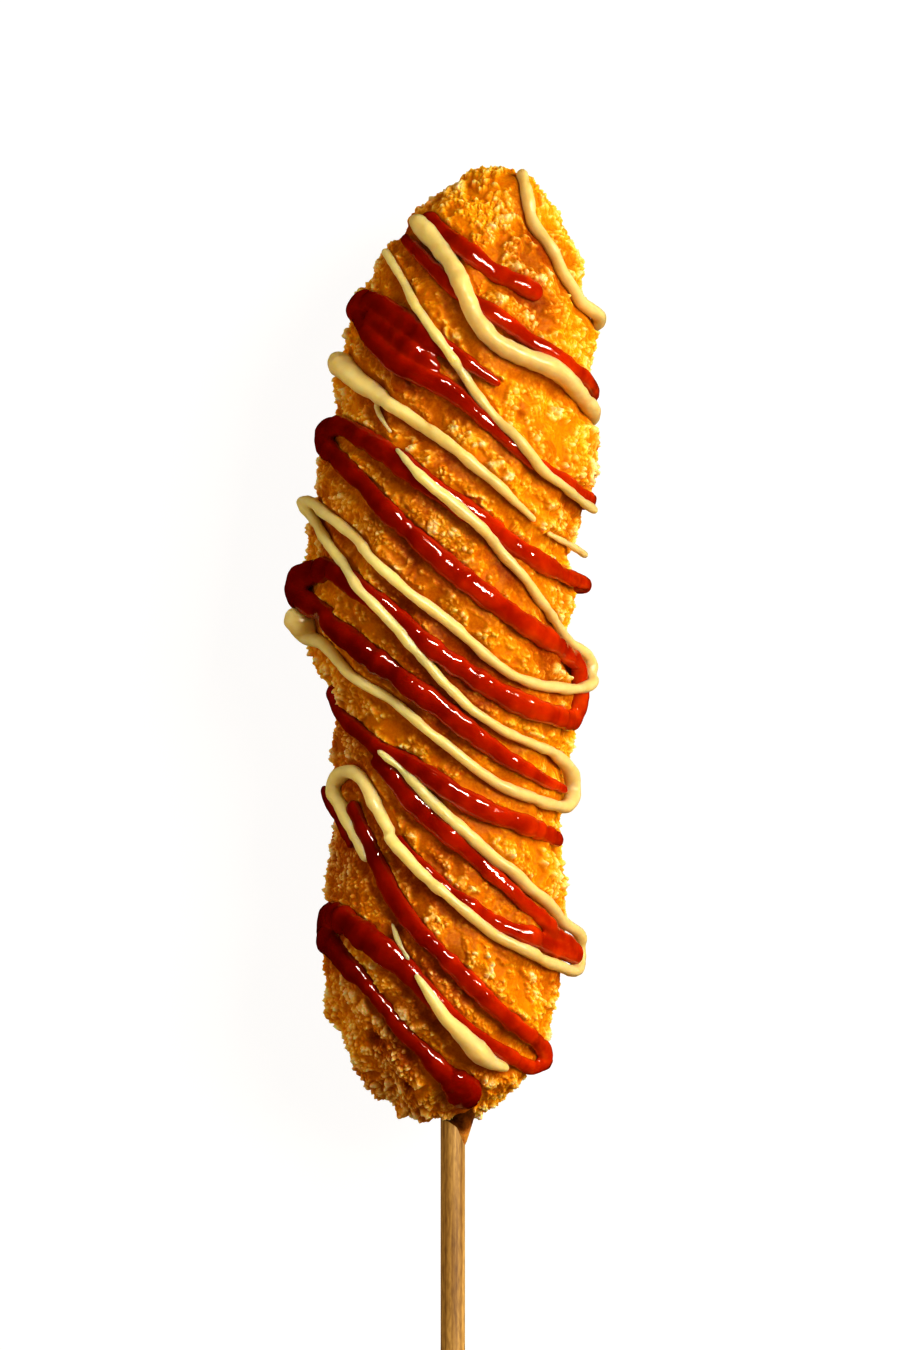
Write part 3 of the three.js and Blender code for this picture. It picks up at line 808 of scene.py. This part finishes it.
def crust_at(p, under, shadow_band):
    """(height of the crust over its smooth form in mm, how pale it is) at a point."""
    bare = max(under, SHADOW_BAND_BARE * shadow_band)
    cluster = clustered(p) * (1 - CRUMBS_LOST * bare)
    chip, _ = chip_at(p)
    deep, _ = dents(p)
    rough = (ROUGH_BATTER + (1 - ROUGH_BATTER) * cluster) * (1 - CRUMBS_LOST * bare)
    rough *= 1 - CRUMBS_LOST * chip
    relief, frost = crumbs(p)
    height = lumps(p) + BATTER_LEVEL + CLUSTER_RISE * cluster
    height += rough * relief + CHIP_HEIGHT * chip - deep
    pale = PALE_BATTER + cluster * (PALE_CLUSTER + CRUMB_FROST * (frost - FROST_LEVEL))
    pale = pale * (1 - CHIP_DULLS * chip) - DENT_DULLS * deep
    return height, min(max(pale, 0), 1)


def skin_rows(sauces):
    """The crust's grid: smooth points, outward normals, and (height, paleness, brownness)."""
    places = ring_places(SKIN_RINGS)
    fine = np.linspace(-FINE_WRAP, FINE_WRAP, FINE_SIDES, endpoint=False)
    coarse = np.linspace(FINE_WRAP, 2 * np.pi - FINE_WRAP, COARSE_SIDES, endpoint=False)
    turns = np.concatenate([fine, coarse])
    along, wrap = np.repeat(places, len(turns)), np.tile(turns, len(places))
    smooth, out = smooth_points(along, wrap), smooth_normals(along, wrap)
    values = np.empty((len(smooth), 3))
    for i, row in enumerate(smooth):
        p = Vector(row)
        under, shadow_band = bareness(sauces, p)
        height, pale = crust_at(p, under, shadow_band)
        chip, chip_brown = chip_at(p)
        # brownness: the crust's own browning, painted shade on the left, painted shadow below and
        # left of the sauces, darker dents and the chips' own colour
        brown = max(browned(p) + PAINTED_SHADOW_BROWN * shadow_band, dents(p)[1] * DENT_DARKENING)
        values[i] = height, pale, min(brown + chip * (chip_brown - brown), 1)
    shape = (len(places), len(turns))
    return smooth.reshape(*shape, 3), out.reshape(*shape, 3), values.reshape(*shape, 3)


def skin_piece(name, rows, first, last):
    """One stretch of the crust, closed at both ends, with two rows more past a cut."""
    smooth, out, values = rows
    count, sides = smooth.shape[:2]
    start, stop = max(first - 2, 0), min(last + 3, count)
    lift = values[start:stop, :, 0].copy()
    if first > 0:
        lift[1] -= UNDER_LAP
        lift[0] -= TUCK
    if last < count - 1:
        lift[-2] -= UNDER_LAP
        lift[-1] -= TUCK
    grid = smooth[start:stop] + out[start:stop] * lift[..., None]
    middles = [grid[0].mean(axis=0), grid[-1].mean(axis=0)]
    vertices = np.concatenate([grid.reshape(-1, 3), middles])
    vertices[:, 2] = np.maximum(vertices[:, 2], 0)
    faces = ring_quads(len(grid), sides) + end_fans(len(grid), sides)
    piece = mesh_object(name, vertices, flipped(faces))
    for layer, column in (("pale", 1), ("brown", 2)):
        own = values[start:stop, :, column].ravel()
        add_values(piece, layer, np.concatenate([own, [own[0], own[-1]]]))
    return piece


def skin_pieces(sauces):
    rows = skin_rows(sauces)
    cuts = np.linspace(0, SKIN_RINGS - 1, SKIN_PARTS + 1).astype(int)
    pieces = []
    for number, (first, last) in enumerate(zip(cuts, cuts[1:]), start=1):
        pieces.append(skin_piece(f"crust_{number}", rows, first, last))
    return pieces


COLLAR_WAVES = [(1.6, 0.5, (0, 0, 0)), (0.6, 0.25, (0, 0, 0))]
COLLAR_ROUGH = (0.1, 1)  # the least and the most of its waves that the collar shows
COLLAR_MOTTLED = 1.1
COLLAR_END_PALE = 0.8
COLLAR_PALING = (158.5, 161.5)  # places along between which it turns paler, out of the painted shade next to the food


def collar_piece():
    """The batter that crept down the skewer, leaning across as it goes: scorched dark, and darker
    still where it meets the food as painted shade.
    """
    vertices, pales = [], []
    for along, across, radius in COLLAR_RINGS:
        rough = min(max(radius - SKEWER_DIAMETER / 2, COLLAR_ROUGH[0]), COLLAR_ROUGH[1])
        for k in range(COLLAR_SIDES):
            turn = 2 * math.pi * k / COLLAR_SIDES
            way = Vector((math.sin(turn), 0, math.cos(turn)))
            p = Vector((across, TIP_Y - along, SKEWER_HEIGHT)) + way * radius
            relief = layered_noise(p, COLLAR_WAVES)
            vertices.append(p + way * relief * rough)
            paling = smoothstep(*COLLAR_PALING, along)
            # painted shade: darker next to the food, paler towards the collar's end
            pales.append(COLLAR_MOTTLED * relief + COLLAR_END_PALE * paling)
    last = (len(COLLAR_RINGS) - 1) * COLLAR_SIDES
    faces = flipped(ring_quads(len(COLLAR_RINGS), COLLAR_SIDES))
    faces.append(tuple(range(COLLAR_SIDES)))
    faces.append(tuple(last + k for k in reversed(range(COLLAR_SIDES))))
    piece = mesh_object("batter_collar", vertices, faces)
    add_values(piece, "pale", np.clip(pales, 0, 1))
    add_values(piece, "brown", np.full(len(vertices), 1.0))
    return piece


# ---- Skewer ----
SKEWER_SIDES = 40
SKEWER_STEP, SKEWER_LAST = 1.2, 0.5  # between its rings, and the least between the last two
WORN_END = [(0, 0.86), (0.15, 0.95), (0.4, 1)]  # (from the free end, share of the radius there)
GRAIN_SHARE, GRAIN_DEPTH = 0.992, 0.012  # its radius between the fibres, and how much they take off
GRAIN_ROUND, GRAIN_LENGTH = 3, 30  # how finely the fibres lie round it, and how long they are


def skewer_radius(turn, y):
    """Its radius in mm, with the fibres that run along it."""
    fibres = abs(noise.noise(Vector((GRAIN_ROUND * turn, y / GRAIN_LENGTH, 0))))
    return SKEWER_DIAMETER / 2 * (GRAIN_SHARE - GRAIN_DEPTH * fibres)


def skewer_piece():
    """The bar that shows and the stretch inside the food, with a slight grain relief."""
    box_low, box_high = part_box("skewer")
    start, end = box_low[1] / MM, box_high[1] / MM
    stations = [(start + out, share) for out, share in WORN_END]
    stations += [(y, 1) for y in np.arange(start + SKEWER_STEP, end - SKEWER_LAST, SKEWER_STEP)]
    stations.append((end, 1))
    vertices = []
    for y, share in stations:
        middle = Vector((SKEWER_ACROSS, y, SKEWER_HEIGHT))
        for k in range(SKEWER_SIDES):
            turn = 2 * math.pi * k / SKEWER_SIDES
            way = Vector((math.sin(turn), 0, math.cos(turn)))
            vertices.append(middle + way * (share * skewer_radius(turn, y)))
    vertices += [Vector((SKEWER_ACROSS, y, SKEWER_HEIGHT)) for y in (start, end)]
    faces = ring_quads(len(stations), SKEWER_SIDES) + end_fans(len(stations), SKEWER_SIDES)
    return mesh_object("skewer_wood", vertices, faces)


# ---- Materials ----
# Colours are stops of a ramp: (place, linear colour). The crust's run from its gaps to its palest
# crumbs, the ketchup's from thick to thin and to the painted light on its right, and the mustard's
# from left to right, lighter on the left and darker on the right as painted light.
GOLDEN = [
    (0.0, (0.66, 0.215, 0.001)), (0.25, (0.79, 0.36, 0.004)), (0.45, (0.88, 0.50, 0.045)),
    (0.7, (0.96, 0.66, 0.20)), (1.0, (1.0, 0.84, 0.50)),
]
BROWNED = [
    (0.0, (0.26, 0.034, 0.0003)), (0.25, (0.45, 0.11, 0.002)), (0.45, (0.62, 0.31, 0.05)),
    (0.7, (0.86, 0.59, 0.26)), (1.0, (1.0, 0.83, 0.54)),
]
SCORCHED = [(0.0, (0.05, 0.009, 0.0002)), (0.4, (0.21, 0.065, 0.005)), (1.0, (0.62, 0.30, 0.05))]
KETCHUP = [
    (0.0, (0.205, 0.0034, 0.0003)), (0.35, (0.36, 0.010, 0.0003)), (0.65, (0.51, 0.030, 0.0005)),
    (1.0, (0.70, 0.086, 0.0016)),
]
KETCHUP_PATCHES = [(0.35, (0.68, 0.46, 0.5)), (0.65, (1.0, 1.0, 1.0))]
# painted light: lighter on the left and darker on the right, evening out the light from the right
MUSTARD = [(0.2, (0.89, 0.78, 0.385)), (0.5, (0.83, 0.71, 0.335)), (0.75, (0.73, 0.595, 0.285))]
MUSTARD_PATCHES = [(0.35, (0.93, 0.91, 0.85)), (0.65, (1.0, 1.0, 1.0))]
BAMBOO = [(0.3, (0.25, 0.115, 0.008)), (0.5, (0.46, 0.27, 0.06)), (0.7, (0.68, 0.45, 0.14))]
BAMBOO_SPECKS = [(0.35, (0.62, 0.55, 0.45)), (0.6, (1.0, 1.0, 1.0))]
FLOOR = [(0.3, (0.11, 0.11, 0.11)), (0.7, (0.12, 0.12, 0.12))]
BLACK_TO_WHITE = [(0.35, (0, 0, 0)), (0.65, (1, 1, 1))]
FROST_SHARE = 0.12  # how much of the crust's tone is fine frost


def new_material(name):
    material = bpy.data.materials.new(name)
    material.use_nodes = True
    nodes = material.node_tree.nodes
    return material, nodes, material.node_tree.links, nodes["Principled BSDF"]


def set_inputs(shader, values):
    for name, value in values.items():
        shader.inputs[name].default_value = value


def noise_node(nodes, links, scale, detail=3.0, stretch=None):
    """Noise over the object's own space, with features about 1 / scale metres across."""
    coordinates = nodes.new("ShaderNodeTexCoord")
    source = coordinates.outputs["Object"]
    if stretch:
        mapping = nodes.new("ShaderNodeMapping")
        mapping.inputs["Scale"].default_value = stretch
        links.new(source, mapping.inputs["Vector"])
        source = mapping.outputs["Vector"]
    texture = nodes.new("ShaderNodeTexNoise")
    texture.inputs["Scale"].default_value = scale
    texture.inputs["Detail"].default_value = detail
    links.new(source, texture.inputs["Vector"])
    return texture.outputs["Fac"]


def ramp_node(nodes, links, source, stops):
    """A colour that runs through the stops as the source goes from 0 to 1."""
    ramp = nodes.new("ShaderNodeValToRGB")
    elements = ramp.color_ramp.elements
    while len(elements) < len(stops):
        elements.new(0.5)
    for element, (place, color) in zip(elements, stops):
        element.position = place
        element.color = (*color, 1)
    links.new(source, ramp.inputs["Fac"])
    return ramp.outputs["Color"]


def mix_node(nodes, links, kind, share, a, b):
    """Two colours mixed in a kind of way, where the share may be a number or a socket."""
    mix = nodes.new("ShaderNodeMix")
    mix.data_type = "RGBA"
    mix.blend_type = kind
    if isinstance(share, float):
        mix.inputs["Factor"].default_value = share
    else:
        links.new(share, mix.inputs["Factor"])
    links.new(a, mix.inputs["A"])
    links.new(b, mix.inputs["B"])
    return mix.outputs["Result"]


def value_node(nodes, name):
    """The numbers that add_values laid on the vertices under that name."""
    attribute = nodes.new("ShaderNodeAttribute")
    attribute.attribute_name = name
    return attribute.outputs["Fac"]


def bump_node(nodes, links, height, strength, distance):
    """Normals bent as if the surface rose by up to that distance in metres, by a share of it."""
    bump = nodes.new("ShaderNodeBump")
    bump.inputs["Strength"].default_value = strength
    bump.inputs["Distance"].default_value = distance
    links.new(height, bump.inputs["Height"])
    return bump.outputs["Normal"]


def crust_material(name, light, dark, roughness, glow_depth):
    """Fried crust: colour from how pale and how brown a place is, where brownness also carries
    painted shade and painted shadow.
    """
    material, nodes, links, shader = new_material(name)
    frost = ramp_node(nodes, links, noise_node(nodes, links, scale=2200), BLACK_TO_WHITE)
    tone = mix_node(nodes, links, "MIX", FROST_SHARE, value_node(nodes, "pale"), frost)
    light_color = ramp_node(nodes, links, tone, light)
    dark_color = ramp_node(nodes, links, tone, dark)
    color = mix_node(nodes, links, "MIX", value_node(nodes, "brown"), light_color, dark_color)
    links.new(color, shader.inputs["Base Color"])
    set_inputs(shader, {
        "Roughness": roughness,
        "Specular IOR Level": 0.1,
        "Specular Tint": (1.0, 0.65, 0.25, 1.0),
        "Subsurface Weight": 1.0,
        "Subsurface Radius": (1.0, 0.55, 0.22),
        "Subsurface Scale": glow_depth,
    })
    grit = noise_node(nodes, links, scale=4000)
    specks = mix_node(nodes, links, "MULTIPLY", 1.0, grit, value_node(nodes, "pale"))
    bump = bump_node(nodes, links, specks, strength=0.8, distance=0.0003)
    links.new(bump, shader.inputs["Normal"])
    return material


def ketchup_material():
    """Glossy, lighter where it lies thin and on the right as painted light, and unevenly thick in
    patches.
    """
    material, nodes, links, shader = new_material("ketchup_gloss")
    color = ramp_node(nodes, links, value_node(nodes, "thin"), KETCHUP)
    patches = ramp_node(nodes, links, noise_node(nodes, links, scale=260), KETCHUP_PATCHES)
    links.new(mix_node(nodes, links, "MULTIPLY", 1.0, color, patches), shader.inputs["Base Color"])
    set_inputs(shader, {
        "Roughness": 0.03,
        "Specular IOR Level": 0.55,
        "Subsurface Weight": 0.3,
        "Subsurface Radius": (1.0, 0.05, 0.02),
        "Subsurface Scale": 0.0015,
    })
    grain = noise_node(nodes, links, scale=2000, detail=2)
    bump = bump_node(nodes, links, grain, strength=0.3, distance=0.00015)
    links.new(bump, shader.inputs["Normal"])
    return material


def mustard_material():
    """Satin, a little duller in patches, and lighter on the left than on the right as painted
    light.
    """
    material, nodes, links, shader = new_material("mustard_satin")
    color = ramp_node(nodes, links, value_node(nodes, "across"), MUSTARD)
    blotches = noise_node(nodes, links, scale=500, detail=5)
    patches = ramp_node(nodes, links, blotches, MUSTARD_PATCHES)
    links.new(mix_node(nodes, links, "MULTIPLY", 1.0, color, patches), shader.inputs["Base Color"])
    set_inputs(shader, {
        "Roughness": 0.32,
        "Specular IOR Level": 0.35,
        "Subsurface Weight": 1.0,
        "Subsurface Radius": (1.0, 0.8, 0.4),
        "Subsurface Scale": 0.003,
    })
    grain = noise_node(nodes, links, scale=1500)
    bump = bump_node(nodes, links, grain, strength=0.12, distance=0.0003)
    links.new(bump, shader.inputs["Normal"])
    return material


def wood_material():
    """Bamboo, with fibres and short specks along it."""
    material, nodes, links, shader = new_material("skewer_bamboo")
    fibre = noise_node(nodes, links, scale=1400, detail=5, stretch=(1.0, 0.02, 1.0))
    color = ramp_node(nodes, links, fibre, BAMBOO)
    specks = noise_node(nodes, links, scale=2600, stretch=(1.0, 0.2, 1.0))
    speckled = ramp_node(nodes, links, specks, BAMBOO_SPECKS)
    links.new(mix_node(nodes, links, "MULTIPLY", 0.8, color, speckled), shader.inputs["Base Color"])
    set_inputs(shader, {"Roughness": 0.55})
    bump = bump_node(nodes, links, fibre, strength=0.3, distance=0.0002)
    links.new(bump, shader.inputs["Normal"])
    return material


def floor_material():
    """A pale floor with a light of its own, so that the food's shadow on it stays faint."""
    material, nodes, links, shader = new_material("pale_floor")
    color = ramp_node(nodes, links, noise_node(nodes, links, scale=8, detail=2), FLOOR)
    links.new(color, shader.inputs["Base Color"])
    set_inputs(shader, {
        "Roughness": 0.9,
        "Specular IOR Level": 0.0,
        "Emission Color": (1, 1, 1, 1),
        "Emission Strength": 0.94,
    })
    return material


# ---- Putting it together ----
def dress(piece, material, node):
    """Gives a piece its material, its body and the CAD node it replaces."""
    piece.data.materials.clear()
    piece.data.materials.append(material)
    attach(piece, "root")
    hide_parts(node)


def build_food():
    ketchup_courses = sauce_courses(KETCHUP_LINES)
    mustard_courses = sauce_courses(MUSTARD_LINES)
    ketchup_tree = tree_of(ketchup_courses)
    mustard_tree = tree_of(mustard_courses)
    ketchup = sauce_piece("ketchup_drizzle", ketchup_courses, KETCHUP_BEAD)
    add_values(ketchup, "thin", thinness(ketchup, ketchup_tree))
    mustard = sauce_piece("mustard_drizzle", mustard_courses, MUSTARD_BEAD, ketchup_tree)
    # the mustard's painted light, from left to right
    add_values(mustard, "across", rightness(mustard))
    crust = crust_material("crust_batter", GOLDEN, BROWNED, roughness=0.4, glow_depth=0.0006)
    dark = crust_material("batter_scorched", SCORCHED, SCORCHED, roughness=0.35, glow_depth=0.0003)
    for piece in skin_pieces([ketchup_tree, mustard_tree]):
        dress(piece, crust, "crusted_sausage")
    dress(collar_piece(), dark, "crusted_sausage")
    dress(ketchup, ketchup_material(), "crusted_sausage")
    dress(mustard, mustard_material(), "crusted_sausage")


def build_skewer():
    dress(skewer_piece(), wood_material(), "skewer")


# ---- Stage, in metres ----
FLOOR_HALF = 3.0
FLOOR_DROP = 0.0002  # how far the floor lies below the food, so that they don't share a plane


def add_floor():
    low, high = -FLOOR_HALF, FLOOR_HALF
    corners = [(low, low, 0), (high, low, 0), (high, high, 0), (low, high, 0)]
    floor = mesh_object("floor", np.array(corners) / MM, [(0, 1, 2, 3)], smooth=False)
    floor.location.z = -FLOOR_DROP
    floor.data.materials.append(floor_material())
    floor.visible_diffuse = False
    floor.visible_glossy = False


# Lights: (name, power, place, size across and up, whether it gives only highlights). One that
# doesn't gives none.
LIGHTS = [
    ("key", 12.3, (0.65, 0.35, 0.77), (0.55, 0.55), False),
    ("side", 6.5, (0.93, 0.16, 0.22), (0.90, 0.90), False),
    ("rim", 3.2, (-0.9, 0.1, 0.30), (0.5, 0.5), False),
    ("gleam", 25, (0.50, 0.40, 0.80), (0.7, 0.14), True),
]
LIT_PLACE = (0.0, 0.04, 0.02)
WARM = (1.0, 0.93, 0.82)
WORLD_COLOR = (1, 0.66, 0.25, 1)
WORLD_STRENGTH = 0.33


def add_light(name, energy, location, size, highlights):
    """A rectangular light that faces LIT_PLACE, its first size across X."""
    light = bpy.data.lights.new(name, "AREA")
    light.shape = "RECTANGLE"
    light.energy = energy
    light.color = WARM
    light.size, light.size_y = size
    lamp = bpy.data.objects.new(name, light)
    lamp.location = location
    lamp.visible_diffuse = not highlights
    lamp.visible_glossy = highlights
    back = (Vector(location) - Vector(LIT_PLACE)).normalized()
    aside = (Vector((1, 0, 0)) - back * back.x).normalized()
    lamp.rotation_euler = Matrix((aside, back.cross(aside), back)).transposed().to_euler()
    bpy.context.scene.collection.objects.link(lamp)


# The frame that is seen: 150 mm by 225 mm at the food's middle height, from straight above.
SEEN_HEIGHT = 0.225
SEEN_CENTRE = (0.00083, 0.0347, 0.02)
CAMERA_DISTANCE = 2.0
CAMERA_REACH = 20
SENSOR = 36.0  # in mm, as Blender has it


def add_camera():
    data = bpy.data.cameras.new("camera")
    data.sensor_fit = "VERTICAL"
    data.sensor_height = SENSOR
    data.lens = SENSOR * CAMERA_DISTANCE / SEEN_HEIGHT
    data.clip_end = CAMERA_REACH
    camera = bpy.data.objects.new("camera", data)
    camera.location = (SEEN_CENTRE[0], SEEN_CENTRE[1], SEEN_CENTRE[2] + CAMERA_DISTANCE)
    bpy.context.scene.collection.objects.link(camera)
    bpy.context.scene.camera = camera


def add_lights():
    for light in LIGHTS:
        add_light(*light)
    world = bpy.data.worlds.new("studio")
    bpy.context.scene.world = world
    world.use_nodes = True
    world.cycles_visibility.glossy = False
    background = world.node_tree.nodes["Background"]
    set_inputs(background, {"Color": WORLD_COLOR, "Strength": WORLD_STRENGTH})


PICTURE_GAMMA = 0.8

build_food()
build_skewer()
add_floor()
add_lights()
add_camera()
bpy.context.scene.view_settings.view_transform = "Standard"
bpy.context.scene.view_settings.gamma = PICTURE_GAMMA
